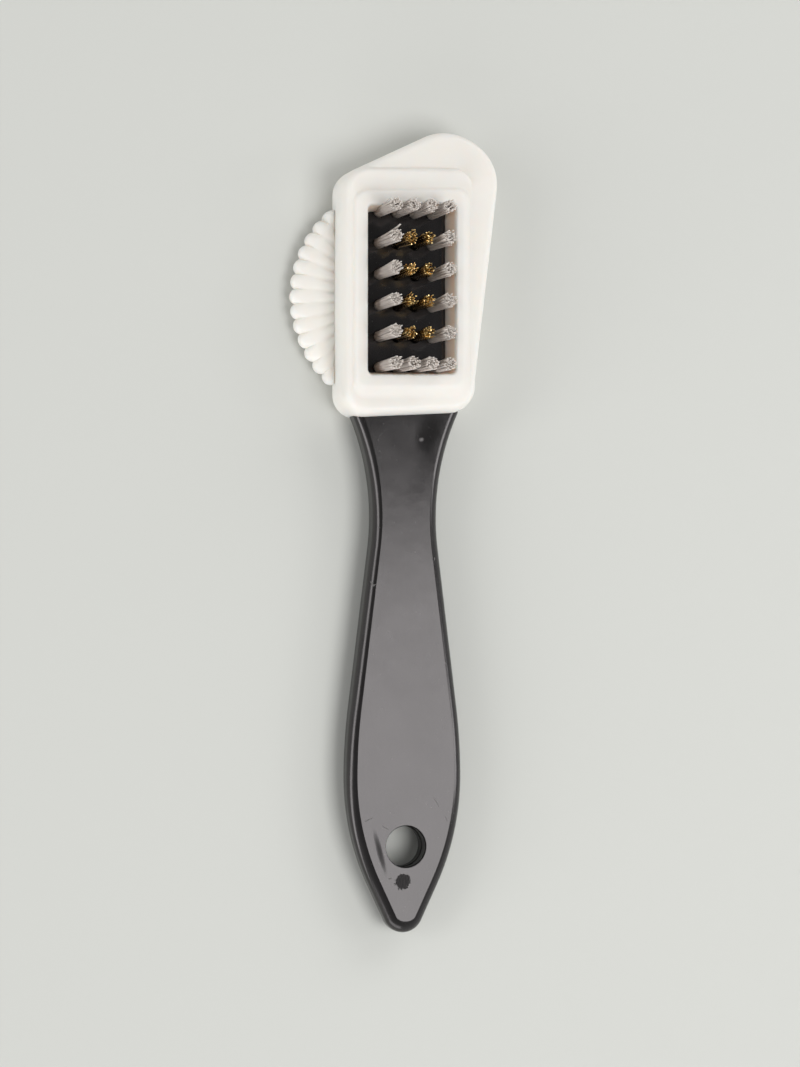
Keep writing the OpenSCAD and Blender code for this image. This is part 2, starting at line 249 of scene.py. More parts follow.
def circle(turn):
    """The places that an array of angles reaches on a circle of radius 1."""
    return np.stack([np.cos(turn), np.sin(turn)], axis=-1)


def whole_circle(points):
    """A number of points at even steps round a circle of radius 1."""
    return circle(np.linspace(0, 2 * math.pi, points, endpoint=False))


def new_piece(name, points, faces):
    """A mesh object from an array of points and a list of arrays of faces."""
    mesh = bpy.data.meshes.new(name)
    polygons = [polygon for block in faces for polygon in block.tolist()]
    tidy = [list(dict.fromkeys(polygon)) for polygon in polygons]
    mesh.from_pydata(np.asarray(points).reshape(-1, 3).tolist(), [], tidy)
    mesh.validate()
    piece = bpy.data.objects.new(name, mesh)
    bpy.context.scene.collection.objects.link(piece)
    return piece


def skin(name, rings):
    """A closed piece whose surface passes through a stack of equal rings, flat at both ends."""
    return new_piece(name, rings, stack_faces(*rings.shape[:2]))


def combine(body, tool, operation):
    """Joins a tool piece to a body or cuts it away, and removes the tool."""
    modifier = body.modifiers.new(operation.title(), "BOOLEAN")
    modifier.operation = operation
    modifier.solver = "EXACT"
    modifier.object = tool
    bpy.context.view_layer.objects.active = body
    bpy.ops.object.modifier_apply(modifier=modifier.name)
    bpy.data.objects.remove(tool)


def smooth(piece, crease):
    """Shades a piece smooth, with creases where two faces meet more steeply than an angle."""
    piece.data.shade_smooth()
    piece.data.set_sharp_from_angle(angle=math.radians(crease))


def finish_piece(piece, node, material):
    """Dresses a piece, hides the CAD node that it stands for and lets it ride on the brush."""
    piece.data.materials.clear()
    piece.data.materials.append(material)
    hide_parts(node)
    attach(piece, "root")


def soften(path, cuts, steps):
    """A path with rounded corners: each inner point gives way to a parabola that starts and
    ends its cut away from the point on either side."""
    path = np.asarray(path, float)
    share = np.linspace(0, 1, steps + 1)[:, None]
    pieces = [path[:1]]
    for before, corner, after, cut in zip(path[:-2], path[1:-1], path[2:], cuts, strict=True):
        gap_in = np.linalg.norm(corner - before)
        gap_out = np.linalg.norm(after - corner)
        start = corner + (before - corner) * min(cut / gap_in, 0.45)
        end = corner + (after - corner) * min(cut / gap_out, 0.45)
        pieces.append(
            (1 - share) ** 2 * start + 2 * share * (1 - share) * corner + share**2 * end
        )
    pieces.append(path[-1:])
    return np.concatenate(pieces)


def rounded_rings(shape, corner_steps):
    """Rings of rounded rectangles. Each row of shape holds half a width, half a length, a corner
    radius, a height and where its middle lies along Y. A ring joins four quarter circles by
    straight sides."""
    half_w, half_l, radius, height, middle_y = (
        column[:, None] for column in np.asarray(shape, float).T
    )
    quarter = np.linspace(0, math.pi / 2, corner_steps + 1)
    turn = (np.arange(4)[:, None] * math.pi / 2 + quarter).ravel()
    side_x = np.repeat([1, -1, -1, 1], corner_steps + 1)
    side_y = np.repeat([1, 1, -1, -1], corner_steps + 1)
    x = side_x * (half_w - radius) + radius * np.cos(turn)
    y = side_y * (half_l - radius) + radius * np.sin(turn) + middle_y
    return np.stack([x, y, np.broadcast_to(height, x.shape)], axis=-1)


def oval(share, power):
    """A share of a circle's sine or cosine made squarer, as in a squashed ellipse."""
    return np.sign(share) * np.abs(share) ** (2 / power)


# Boot


def boot_block(s):
    """The boot's block: round back edge, upright sides, oval front edge, raised lip and window.
    Its section is a path of rounded rectangles with softened corners. Shears along the brush
    then skew it. The lip's slope is widened on two sides and the window on the bump's side."""
    soft_steps = 8
    held_skew = 0.15
    steep_climb = 0.75  # share of the step up to the lip that the slope's steep part takes
    shallow_run = 1.2  # width of its shallow part, in slope widths
    below_plate = 0.3 * MM
    cuts = np.array([0.6, 0.3, 0.6, 0.6]) * MM

    def from_frame(inset, z):
        """A section's row for a ring drawn in from the frame's side."""
        half_l = (s.frame_l + s.overhang) / 2 - inset
        return [s.frame_w / 2 - inset, half_l, s.frame_r - inset, z, -s.overhang / 2]

    def from_window(outset, z):
        """A section's row for a ring drawn out from the window's edge."""
        half_l = s.window_l / 2 + outset
        return [s.window_w / 2 + outset, half_l, s.window_r + outset / 2, z, -s.overhang / 3]

    turn = np.radians(np.linspace(0, 90, 13))
    back = [
        from_frame(s.back_round * (1 - math.sin(t)), s.back_round * (1 - math.cos(t)))
        for t in turn
    ]
    front = [
        from_frame(
            s.front_round_w * (1 - math.cos(t)), s.frame_z - s.front_round_h * (1 - math.sin(t))
        )
        for t in turn
    ]
    lip = s.lip_w + s.lip_slope
    lip_z = boot_high.z
    step = lip_z - s.frame_z
    floor = from_window(0, s.floor_z - below_plate)
    floor[0] -= s.window_lean
    floor[1] -= s.window_lean
    section = soften(
        [
            front[-1],
            from_window(lip, s.frame_z),
            from_window(s.lip_w, s.frame_z + step * steep_climb),
            from_window(s.lip_w - s.lip_slope * shallow_run, lip_z),
            from_window(0, lip_z),
            floor,
        ],
        cuts,
        soft_steps,
    )
    rings = rounded_rings(np.concatenate([back, front, section[1:]]), 14)
    x, y, z = (rings[..., k].copy() for k in range(3))
    order = np.arange(len(rings))[:, None] - len(back) - len(front)
    is_frame = order < 0
    is_window = order >= 3 * (soft_steps + 1)
    is_slope = ~is_frame & ~is_window
    climb = (z - s.frame_z) / step
    rings[..., 0] -= s.lip_ease_w * climb * (is_slope & (x > 0))
    rings[..., 1] -= s.lip_ease_l * (1 - climb) * (is_slope & (y < 0))
    rings[..., 0] -= s.window_pull * (is_window & (x < 0))
    held = is_frame & (x < 0) & (y > 0)
    rings[..., 1] += x * (s.skew + s.skew_growth * y) * np.where(held, held_skew, 1)
    rings[..., 1] += x * s.end_skew * (is_frame & (y < 0))
    return skin("boot_block", rings)


def boot_bump(s):
    """The ribbed bump: a low flange whose section, a squashed ellipse, turns round an arc's
    middle. Each rib is a round lobe. The grooves between ribs are deep at the tips, shallow on
    the front and back, and end in pockets beside the wall, where the front also dips."""
    steps = 14
    section_steps = 44
    squareness = 3.4
    sunk = 0.4 * MM
    least_reach = 0.05 * MM
    lobe = 1.118  # radius of a rib's round back, in half ribs
    tip_reach = 1.05 * MM
    tip_groove = 0.9 * MM
    face_groove = 0.035 * MM
    root_pocket = 0.6 * MM
    front_dip = 0.3
    side = s.frame_w / 2
    middle_x = boot_low.x + s.bump_r
    to_wall = middle_x + side
    half_angle = math.acos((to_wall + sunk) / s.bump_r)
    along = np.arange(s.ribs * steps + 1)
    turn = (half_angle - 2 * half_angle * along / (s.ribs * steps))[:, None]
    across = (along % steps) / steps * 2 - 1
    valley = ((lobe - np.sqrt(lobe**2 - across**2)) / (lobe - math.sqrt(lobe**2 - 1)))[:, None]
    u = np.radians(np.linspace(90, -90, section_steps + 1))[None, :]
    reach_share = oval(np.cos(u), squareness)
    tip_r = s.bump_r - s.rib_depth * valley
    wall_r = np.minimum(to_wall / np.cos(turn), tip_r - least_reach)
    r = wall_r + (tip_r - wall_r) * reach_share
    near_wall = (1 - reach_share) ** 3
    from_tip = (tip_r - r) / tip_reach
    between = (0.5 - 0.5 * np.cos(math.pi * across))[:, None]
    groove = tip_groove * np.exp(-(from_tip**2)) * valley + face_groove * between
    half_t = s.bump_t / 2 - groove - root_pocket * near_wall * between**3
    dip = 1 - front_dip * near_wall * (np.sin(u) > 0)
    z = s.bump_base + s.bump_t / 2 + half_t * oval(np.sin(u), squareness) * dip
    r = np.concatenate([r[:, :1] - s.wall, r, r[:, -1:] - s.wall], axis=1)
    z = np.concatenate([z[:, :1], z, z[:, -1:]], axis=1)
    x = middle_x - r * np.cos(turn)
    y = r * np.sin(turn) - s.bump_shift
    return skin("boot_bump", np.stack([x, y, z], axis=-1))


def fin_outline(s, fineness):
    """The fin's edge in plan: a straight upper edge, a round tip and a straight outer edge,
    each tangent to the next, that both end just inside the frame."""
    top_sunk = 0.8 * MM
    side_sunk = 0.5 * MM
    middle = np.array([boot_high.x - s.fin_r, boot_high.y - s.fin_r])
    top, side = s.fin_top_angle, s.fin_side_angle
    tip = middle + s.fin_r * circle(np.linspace(math.pi / 2 + top, -side, 4 * fineness))
    top_l = (tip[0, 1] - s.frame_l / 2 + top_sunk) / math.sin(top)
    side_l = (tip[-1, 0] - s.frame_w / 2 + side_sunk) / math.sin(side)
    share = np.linspace(0, 1, fineness)[:, None]
    upper = tip[0] - np.array([math.cos(top), math.sin(top)]) * top_l * (1 - share[:-1])
    outer = tip[-1] - np.array([math.sin(side), math.cos(side)]) * side_l * share[1:]
    return np.concatenate([upper, tip, outer])


def boot_fin(s):
    """The fin: a wedge that runs out from the frame to a rounded edge. Its front is flush with
    the frame at the side and drops below it towards the head's end, and it falls outwards."""
    root_r = MM
    drop_from = 25  # degrees round the frame's corner, from the side
    drop_rate = 1.4
    fall = 0.12
    below_back = 0.3 * MM
    edge = fin_outline(s, 24)
    limit = np.array([s.frame_w / 2 - s.fin_root_w, s.frame_l / 2 - s.fin_root_l])
    heart = np.minimum(edge, limit)
    out = (edge - heart) / np.linalg.norm(edge - heart, axis=1, keepdims=True)
    root = heart + out * root_r
    beyond = np.maximum(edge - limit, [1e-6, 0])
    turn = np.degrees(np.arctan2(beyond[:, 1], beyond[:, 0]))
    low = np.sin(np.radians(np.clip((turn - drop_from) * drop_rate, 0, 90))) ** 2
    root_z = s.frame_z - s.fin_drop * low
    run = np.linalg.norm(edge - root, axis=1)
    back_z = np.full_like(root_z, handle_low.z - below_back)
    r = s.fin_edge_t / 2
    t = np.radians(np.linspace(-90, 90, 25))
    inward = r * (1 - np.cos(t))[None, :, None]
    rim = edge[:, None, :] - out[:, None, :] * inward
    share = (1 - r / run)[:, None] * np.linspace(1, 0, 13)[None, :]
    power = (2.2 - 1.2 * low)[:, None]  # 1, a straight line, where it has dropped
    front_z = root_z[:, None] - fall * run[:, None] * share**power
    front = root[:, None, :] + (edge - root)[:, None, :] * share[..., None]
    rim_z = front_z[:, :1] - r * (1 - np.sin(t))[None, :]
    ring = np.concatenate([root[:, None], rim, front[:, 1:]], axis=1)
    height = np.concatenate([back_z[:, None], rim_z, front_z[:, 1:]], axis=1)
    return skin("boot_fin", np.concatenate([ring, height[..., None]], axis=-1))


def plate_rings(s, h, grow, bottom, top):
    """Two rounded rectangles that bound the head plate, grown by a gap."""
    half_w = s.frame_w / 2 - s.wall - BOOT_GAP + grow
    half_l = handle_high.y + grow
    shape = [[half_w, half_l, h.plate_r, z, 0] for z in (bottom, top)]
    return rounded_rings(shape, CORNER_STEPS)


def entry_rings(s, h, grow):
    """The handle's section where it passes through the boot's end, as two upright rings."""
    outside = 3 * MM
    thickness = handle_high.z - handle_low.z
    half = [h.entry_w / 2 + grow, thickness / 2 + grow]
    flat = rounded_rings([[*half, h.edge_r + grow, 0, 0]] * 2, CORNER_STEPS)
    y = np.array([-s.frame_l / 2 - outside, -s.frame_l / 2 + h.root_depth + grow])[:, None]
    x = -flat[..., 0]
    z = flat[..., 1] + handle_low.z + thickness / 2
    return np.stack([x, np.broadcast_to(y, x.shape), z], axis=-1)[::-1]


# Handle


def handle_outline(s, h, fineness):
    """The handle's right edge in plan, from its root to its tip, as x, y and the angle that the
    edge faces: a neck arc, a straight flank, two grip arcs, a straight side and a round tip,
    each tangent to the next."""
    start_y = -s.frame_l / 2
    tip_y = handle_low.y
    past_side = 0.02
    neck_r = (h.neck_drop**2 + ((h.entry_w - h.neck_w) / 2) ** 2) / (h.entry_w - h.neck_w)
    grip_w = handle_high.x - handle_low.x
    neck = np.array([h.neck_w / 2 + neck_r, start_y - h.neck_drop])
    upper = np.array([grip_w / 2 - h.grip_upper_r, tip_y + h.grip_drop])
    lower = np.array([grip_w / 2 - h.grip_lower_r, tip_y + h.grip_drop])
    tip = np.array([0, tip_y + h.tip_r])
    gap = neck - upper
    flank = (
        math.atan2(gap[1], gap[0])
        + math.asin((neck_r + h.grip_upper_r) / np.linalg.norm(gap))
        - math.pi / 2
    )
    gap = tip - lower
    side = math.atan2(gap[1], gap[0]) + math.acos((h.grip_lower_r - h.tip_r) / np.linalg.norm(gap))
    entry = -math.asin(h.neck_drop / neck_r)

    def arc(middle, radius, start, end, steps):
        """Points of an arc with the angle that each one faces."""
        turn = np.linspace(start, end, steps)
        return np.column_stack([middle + radius * circle(turn), turn])

    neck_arc = arc(neck, neck_r, entry + math.pi, flank + math.pi, 2 * fineness)
    neck_arc[:, 2] -= math.pi
    root = np.array([[h.entry_w / 2, start_y + h.root_depth, 0]])
    return np.concatenate(
        [
            root,
            neck_arc,
            arc(upper, h.grip_upper_r, flank, 0, fineness),
            arc(lower, h.grip_lower_r, side / fineness, side, fineness),
            arc(tip, h.tip_r, side - past_side, -math.pi / 2, fineness),
        ]
    )


def handle_shaft(s, h):
    """The shaft: rings that follow the outline, drawn in along the way each point faces. The
    back edge is a quarter circle. The front edge is a quarter of an ellipse, cut off at a slight
    crease. It narrows on the left towards the boot and is wider round the tip."""
    half = handle_outline(s, h, 40)
    mirrored = half[-2::-1] * [-1, 1, -1]
    mirrored[:, 2] += math.pi
    outline = np.concatenate([half, mirrored])
    root_y = half[0, 1]
    tip_y = handle_low.y
    front_steps = 14
    back_steps = 12
    neck_power = 0.75
    tip_power = 1.5
    crease = math.radians(70)
    t = np.linspace(crease, 0, front_steps)
    grip_y = tip_y + h.grip_drop
    down_neck = np.clip((root_y - outline[:, 1]) / (root_y - grip_y), 0, 1) ** neck_power
    left_w = h.edge_w_neck + (h.edge_w - h.edge_w_neck) * down_neck
    width = np.where(outline[:, 0] < 0, left_w, h.edge_w)
    at_tip = np.clip(-np.sin(outline[:, 2]), 0, 1) ** tip_power
    width = width + h.edge_w_tip * at_tip
    front_in = width * ((1 - np.cos(t)) / (1 - math.cos(crease)))[:, None]
    front_down = (h.edge_r * (1 - np.sin(t) / math.sin(crease)))[:, None]
    b = np.linspace(0, math.pi / 2, back_steps)
    back_in = np.broadcast_to((h.edge_r * (1 - np.cos(b)))[:, None], (back_steps, len(outline)))
    inset = np.concatenate([front_in, back_in])
    up = (h.edge_r * (1 - np.sin(b)))[:, None]
    x = outline[:, 0] - np.cos(outline[:, 2]) * inset
    y = outline[:, 1] - np.sin(outline[:, 2]) * inset
    taper = h.taper * (root_y - y[:front_steps]) / (root_y - tip_y)
    face = handle_high.z - taper - front_down
    back = np.broadcast_to(handle_low.z + up, y[front_steps:].shape)
    return skin("handle_shaft", np.stack([x, y, np.concatenate([face, back])], axis=-1))


def lathe(name, middle, profile, points):
    """A round piece about an upright axis, from an array of radii and heights going up."""
    xy = middle + profile[:, :1, None] * whole_circle(points)
    z = np.broadcast_to(profile[:, 1:, None], (*xy.shape[:2], 1))
    return skin(name, np.concatenate([xy, z], axis=-1))


def hang_hole_cutter(h):
    """A cutter for the hang hole that bevels both rims and leaves the thin ridge where the
    halves of the mould met."""
    flash_half_w = 0.15 * MM
    y = handle_low.y + h.hole_inset
    root_y = -settings().boot.frame_l / 2 + h.root_depth
    face_z = handle_high.z - h.taper * (root_y - y) / (root_y - handle_low.y)
    rim = h.hole_d / 2
    bore = rim - h.hole_rim
    depth = 2 * h.hole_rim
    middle = (handle_low.z + face_z) / 2
    profile = np.array(
        [
            [rim + h.hole_rim, handle_low.z - depth],
            [rim, handle_low.z],
            [bore, handle_low.z + depth],
            [bore, middle - flash_half_w],
            [bore - h.hole_flash, middle],
            [bore, middle + flash_half_w],
            [bore, face_z - depth],
            [rim, face_z],
            [rim + h.hole_rim, face_z + depth],
        ]
    )
    return lathe("hang_hole_cutter", (0, y), profile, 96)


def tuft_places(b):
    """Row, column, x and y of every tuft, counted from the head's end and from the left."""
    for row in range(1, b.rows + 1):
        for column in range(1, b.columns + 1):
            x = (column - (b.columns + 1) / 2) * b.column_pitch
            y = ((b.rows + 1) / 2 - row) * b.row_pitch
            yield row, column, x, y


def tuft_hole_cutter(b, floor_z):
    """One piece that holds a cutter for every blind tuft hole."""
    points = 28
    levels = 4
    middles = np.array([[x, y] for _, _, x, y in tuft_places(b)])
    chamfer = 0.12 * MM
    radii = b.hole_d / 2 + np.array([0, 0, chamfer, chamfer])
    heights = floor_z + np.array([-b.hole_depth, -chamfer, 0, MM])
    xy = middles[:, None, None, :] + radii[:, None, None] * whole_circle(points)
    z = np.broadcast_to(heights[None, :, None], xy.shape[:-1])
    rings = np.concatenate([xy, z[..., None]], axis=-1)
    offsets = np.arange(len(middles)) * levels * points
    faces = [block + offset for offset in offsets for block in stack_faces(levels, points)]
    return new_piece("tuft_hole_cutter", rings, faces)


# Tufts


def tuft_strands(name, middle, reach, heights, strand, crimp, rng, stray=None):
    """A tuft: every strand starts on a spiral disc, runs up straight and leans out towards its
    tip, with small chance differences in lean, length and cut. A crimped strand also swings
    from side to side in a sine wave. Strands are tubes of level rings. A stray vector draws the
    three strands nearest to it together and out that way."""
    shortfall = 0.08  # share of the free length that a strand may lack
    bend = 1.4
    crimp_rise = 6  # the swing is full from a sixth of the free length up
    cut_slope = 0.5
    strays = 3
    foot_r, tip_r, lean = reach
    low, floor, high = heights
    strands, thick, sides, rings = strand
    pitch, swing = crimp
    i = np.arange(strands)
    bearing = i * GOLDEN_ANGLE + rng.uniform(0, 2 * math.pi)
    way = np.sqrt((i + 0.5) / strands)[:, None] * circle(bearing)
    foot = way * foot_r
    tip = way * tip_r + rng.normal(0, lean, (strands, 2))
    if stray is not None:
        nearest = np.argsort(way @ stray)[-strays:]
        tip[nearest] = tip[nearest].mean(axis=0) + stray + rng.normal(0, lean, (strays, 2))
    tops = high - (high - floor) * rng.uniform(0, shortfall, strands)
    share = np.linspace(0, 1, rings)[None, :]
    z = low + (tops[:, None] - low) * share
    free = np.clip((z - floor) / (high - floor), 0, 1)
    centre = foot[:, None, :] + (tip - foot)[:, None, :] * free[..., None] ** bend
    plane = rng.uniform(0, math.pi, strands)[:, None]
    phase = rng.uniform(0, 2 * math.pi, strands)[:, None]
    wave = swing * np.sin(2 * math.pi * z / pitch + phase) * np.minimum(1, free * crimp_rise)
    centre = centre + wave[..., None] * circle(plane)
    rim = whole_circle(sides) * thick / 2
    points = np.zeros((strands, rings, sides, 3))
    points[..., :2] = middle + centre[:, :, None, :] + rim
    points[..., 2] = z[:, :, None]
    cut = rng.normal(0, cut_slope, (strands, 2)) @ rim.T
    points[:, -1, :, 2] += cut - np.max(np.abs(cut), axis=1, keepdims=True)
    tube = grid_faces(rings, sides, True)
    ends = np.stack([np.arange(sides)[::-1], (rings - 1) * sides + np.arange(sides)])
    offsets = (np.arange(strands) * rings * sides)[:, None, None]
    piece = new_piece(
        name, points, [(tube + offsets).reshape(-1, 4), (ends + offsets).reshape(-1, sides)]
    )
    shade = np.broadcast_to(rng.uniform(0, 1, strands)[:, None, None], points.shape[:3])
    height = np.broadcast_to(free[:, :, None], points.shape[:3])
    for label, values in (("strand_shade", shade), ("strand_height", height)):
        layer = piece.data.attributes.new(label, "FLOAT", "POINT")
        layer.data.foreach_set("value", np.ascontiguousarray(values, dtype=np.float32).ravel())
    return piece


# Finishes


def linear(hex_colour):
    """Turns an sRGB hex value into the linear colour that a shader takes."""
    shares = [int(hex_colour[i : i + 2], 16) / 255 for i in (1, 3, 5)]
    curve = [c / 12.92 if c <= 0.04045 else ((c + 0.055) / 1.055) ** 2.4 for c in shares]
    return (*curve, 1.0)


def fill(node, sockets):
    """Fills a node's sockets with values, or with links from other nodes."""
    for key, value in sockets.items():
        if isinstance(value, bpy.types.NodeSocket):
            node.id_data.links.new(value, node.inputs[key])
        else:
            node.inputs[key].default_value = value


def add_node(tree, kind, sockets=None, **values):
    """Adds a node, sets its values and fills its sockets."""
    node = tree.nodes.new(kind)
    for key, value in values.items():
        setattr(node, key, value)
    fill(node, sockets or {})
    return node


def new_material(name, sockets):
    """A material with one principled shader, whose constant values sit on its own sockets."""
    material = bpy.data.materials.new(name)
    material.use_nodes = True
    tree = material.node_tree
    shader = tree.nodes["Principled BSDF"]
    fill(shader, sockets)
    return material, tree, shader


def object_place(tree):
    """Places on the piece itself, in metres."""
    return add_node(tree, "ShaderNodeTexCoord").outputs["Object"]


def attribute(tree, name):
    """A value that the mesh holds at each point."""
    return add_node(tree, "ShaderNodeAttribute", attribute_name=name).outputs["Fac"]


def noise(tree, place, scale, detail=2):
    """A noise texture whose clouds are about 1 / scale metres across."""
    sockets = {"Vector": place, "Scale": scale, "Detail": detail}
    return add_node(tree, "ShaderNodeTexNoise", sockets).outputs["Fac"]


def calculate(tree, operation, *values, clamp=False):
    """The result of one step of arithmetic on two or three values."""
    sockets = dict(enumerate(values))
    node = add_node(tree, "ShaderNodeMath", sockets, operation=operation, use_clamp=clamp)
    return node.outputs["Value"]


def ramp(tree, value, low, high, start=0.0, end=1.0, curve="LINEAR"):
    """A value taken from the range low to high to the range start to end, and held there."""
    sockets = {"Value": value, "From Min": low, "From Max": high, "To Min": start, "To Max": end}
    node = add_node(tree, "ShaderNodeMapRange", sockets, interpolation_type=curve)
    return node.outputs["Result"]


def blend(tree, share, first, second):
    """A colour between two, by a share from 0 to 1."""
    sockets = {"Factor": share, "A": first, "B": second}
    return add_node(tree, "ShaderNodeMix", sockets, data_type="RGBA").outputs["Result"]


def raised(tree, height, strength, distance, under=None, invert=False):
    """The normal of a skin that a height map raises, on top of the normal under it."""
    sockets = {"Height": height, "Strength": strength, "Distance": distance}
    if under is not None:
        sockets["Normal"] = under
    return add_node(tree, "ShaderNodeBump", sockets, invert=invert).outputs["Normal"]


def spot(tree, place, middle, half_size, turn, edge, wobble=0.5):
    """A mask that is 1 inside an oval on the handle's face and fades out over its edge. Sizes
    are in millimetres, the turn in degrees, and edge and wobble are shares of the half size."""
    sockets = {
        "Vector": place,
        "Location": (middle[0] * MM, middle[1] * MM, 0),
        "Rotation": (0, 0, math.radians(turn)),
        "Scale": (half_size[0] * MM, half_size[1] * MM, 1),
    }
    local = add_node(tree, "ShaderNodeMapping", sockets, vector_type="TEXTURE").outputs["Vector"]
    far = add_node(tree, "ShaderNodeVectorMath", {0: local}, operation="LENGTH").outputs["Value"]
    reach = calculate(tree, "MULTIPLY_ADD", noise(tree, local, 2.5), wobble, far)
    outer = 1 + wobble / 2
    return ramp(tree, reach, outer - edge, outer, 1.0, 0.0, "SMOOTHSTEP")


def total(tree, masks):
    """The sum of several masks, held below 1."""
    result = masks[0]
    for mask in masks[1:]:
        result = calculate(tree, "ADD", result, mask, clamp=True)
    return result


# Small scuffs on the handle's face, the first of them a painted highlight: the middle, half size,
# turn and edge of a spot
SCUFFS_AND_HIGHLIGHT = (
    # A painted highlight: a soft pale spot beside the neck's hollow
    ((3.3, -32.6), (0.75, 0.55), 20, 1.1),
    ((-7.7, -64.1), (0.22, 0.8), 30, 0.5),
    ((-7.3, -64.4), (0.5, 0.16), 30, 0.5),
    ((6.4, -58.6), (0.16, 0.4), 0, 0.5),
    ((-8.5, -115.1), (0.14, 1.4), -65, 0.5),
    ((-3.6, -127.9), (0.5, 0.2), 0, 0.5),
    ((6.9, -111.6), (0.12, 1.5), 28, 0.6),
    ((9.2, -115.3), (0.1, 0.8), 28, 0.6),
    ((-4.7, -116.9), (0.12, 1.1), 62, 0.6),
)


def moulded_black_plastic(f):
    """High impact polystyrene from a polished mould: near black, with a satin skin that has
    gone slightly dull with handling, and a glossier, untouched plate in the window. The
    handle's face keeps its gate mark, a few dents and scuffs and a little dust, and carries one
    painted highlight beside the neck."""
    material, tree, shader = new_material(
        "moulded_black_polystyrene", {"IOR": 1.57, "Specular Tint": (1.0, 0.95, 0.955, 1.0)}
    )
    place = object_place(tree)
    gate = spot(tree, place, (-0.7, -128.6), (1.8, 1.65), 35, 0.3, 1.2)
    smear = spot(tree, place, (-5.9, -122.2), (0.85, 6.2), 16, 0.9, 0.3)
    hollow = spot(tree, place, (5.2, -31.0), (4.4, 6.0), -20, 0.9, 0.3)
    shaded = spot(tree, place, (4.0, -40.0), (5.0, 14.0), -8, 0.95, 0.3)
    scuffs_and_highlight = total(tree, [spot(tree, place, *scuff) for scuff in SCUFFS_AND_HIGHLIGHT])
    # Dust and hand marks, clouds of about 8 mm
    clouds = noise(tree, place, 120, 4)
    tone = blend(tree, clouds, linear(f.plastic), linear(f.plastic_worn))
    # Grains of dust, 0.2 mm across, which are only the peaks of the noise
    dust = ramp(tree, noise(tree, place, 2300, 1), 0.74, 0.84)
    # Scuffs and dust lighten the tone, and so does one painted highlight among the scuffs
    pale = calculate(tree, "MULTIPLY", total(tree, [scuffs_and_highlight, dust]), 0.4)
    tone = blend(tree, pale, tone, linear(f.dust))
    # Fine scratches along the handle, drawn 0.3 mm apart because finer ones wouldn't show
    along = add_node(tree, "ShaderNodeMapping", {"Vector": place, "Scale": (3300, 260, 3300)})
    scratches = noise(tree, along.outputs["Vector"], 1, 3)
    # The untouched plate is the smoothest. Dust, scratches and marks are duller, and in the
    # places beside the boot the mould's polish still shows.
    y = add_node(tree, "ShaderNodeSeparateXYZ", {"Vector": place}).outputs["Y"]
    rough = ramp(tree, y, -30 * MM, -22 * MM, 0.09, 0.04)
    marks = total(tree, [scuffs_and_highlight, smear, gate])
    changes = ((clouds, 0.12), (scratches, 0.05), (marks, 0.5), (hollow, -0.11), (shaded, -0.05))
    for mask, change in changes:
        rough = calculate(tree, "MULTIPLY_ADD", mask, change, rough)
    # The skin's faint waviness, 3 mm across, under the smear and the ridges of the gate mark
    normal = raised(tree, noise(tree, place, 330), 0.25, 0.04 * MM)
    normal = raised(tree, smear, 1.0, 0.06 * MM, normal, invert=True)
    sockets = {"Vector": place, "Scale": 500, "Distortion": 3.0}
    ridges = add_node(tree, "ShaderNodeTexWave", sockets).outputs["Fac"]
    normal = raised(tree, calculate(tree, "MULTIPLY", ridges, gate), 1.0, 0.5 * MM, normal)
    fill(shader, {"Base Color": tone, "Roughness": rough, "Normal": normal})
    return material


def moulded_white_rubber(f):
    """Thermoplastic rubber from a fine sparked mould: warm white, matt, and lit a little from
    inside, so that its hollows look rosy and not grey. The window's walls carry painted light,
    a warm glow for light from the brass beside them."""
    material, tree, shader = new_material(
        "thermoplastic_rubber_warm_white",
        {
            "IOR": 1.5,
            "Subsurface Weight": 0.75,
            "Subsurface Radius": (1.0, 0.85, 0.75),
            "Subsurface Scale": 3.5 * MM,
        },
    )
    place = object_place(tree)
    # Clouds of about 11 mm
    clouds = noise(tree, place, 90, 3)
    tone = blend(tree, clouds, linear(f.rubber), linear(f.rubber_shade))
    # Painted light on the window's walls: a warm glow for light from the brass beside them, on all
    # rubber inside a box in the lip
    far = add_node(tree, "ShaderNodeVectorMath", {0: place}, operation="ABSOLUTE").outputs["Vector"]
    sides = add_node(tree, "ShaderNodeSeparateXYZ", {"Vector": far}).outputs
    edge = 0.6 * MM
    limits = (("X", 11.1 * MM), ("Y", 19.7 * MM), ("Z", 12.2 * MM))
    inside = [ramp(tree, sides[axis], end - edge, end, 1.0, 0.0) for axis, end in limits]
    painted_glow_mask = calculate(tree, "MULTIPLY", inside[0], inside[1])
    painted_glow_mask = calculate(tree, "MULTIPLY", painted_glow_mask, inside[2])
    tone = blend(tree, painted_glow_mask, tone, linear(f.painted_wall_glow))
    rough = ramp(tree, clouds, 0.0, 1.0, 0.48, 0.62)
    # The mould's grain, 0.25 mm across
    normal = raised(tree, noise(tree, place, 4000), 0.15, 0.05 * MM)
    fill(shader, {"Base Color": tone, "Roughness": rough, "Normal": normal})
    return material


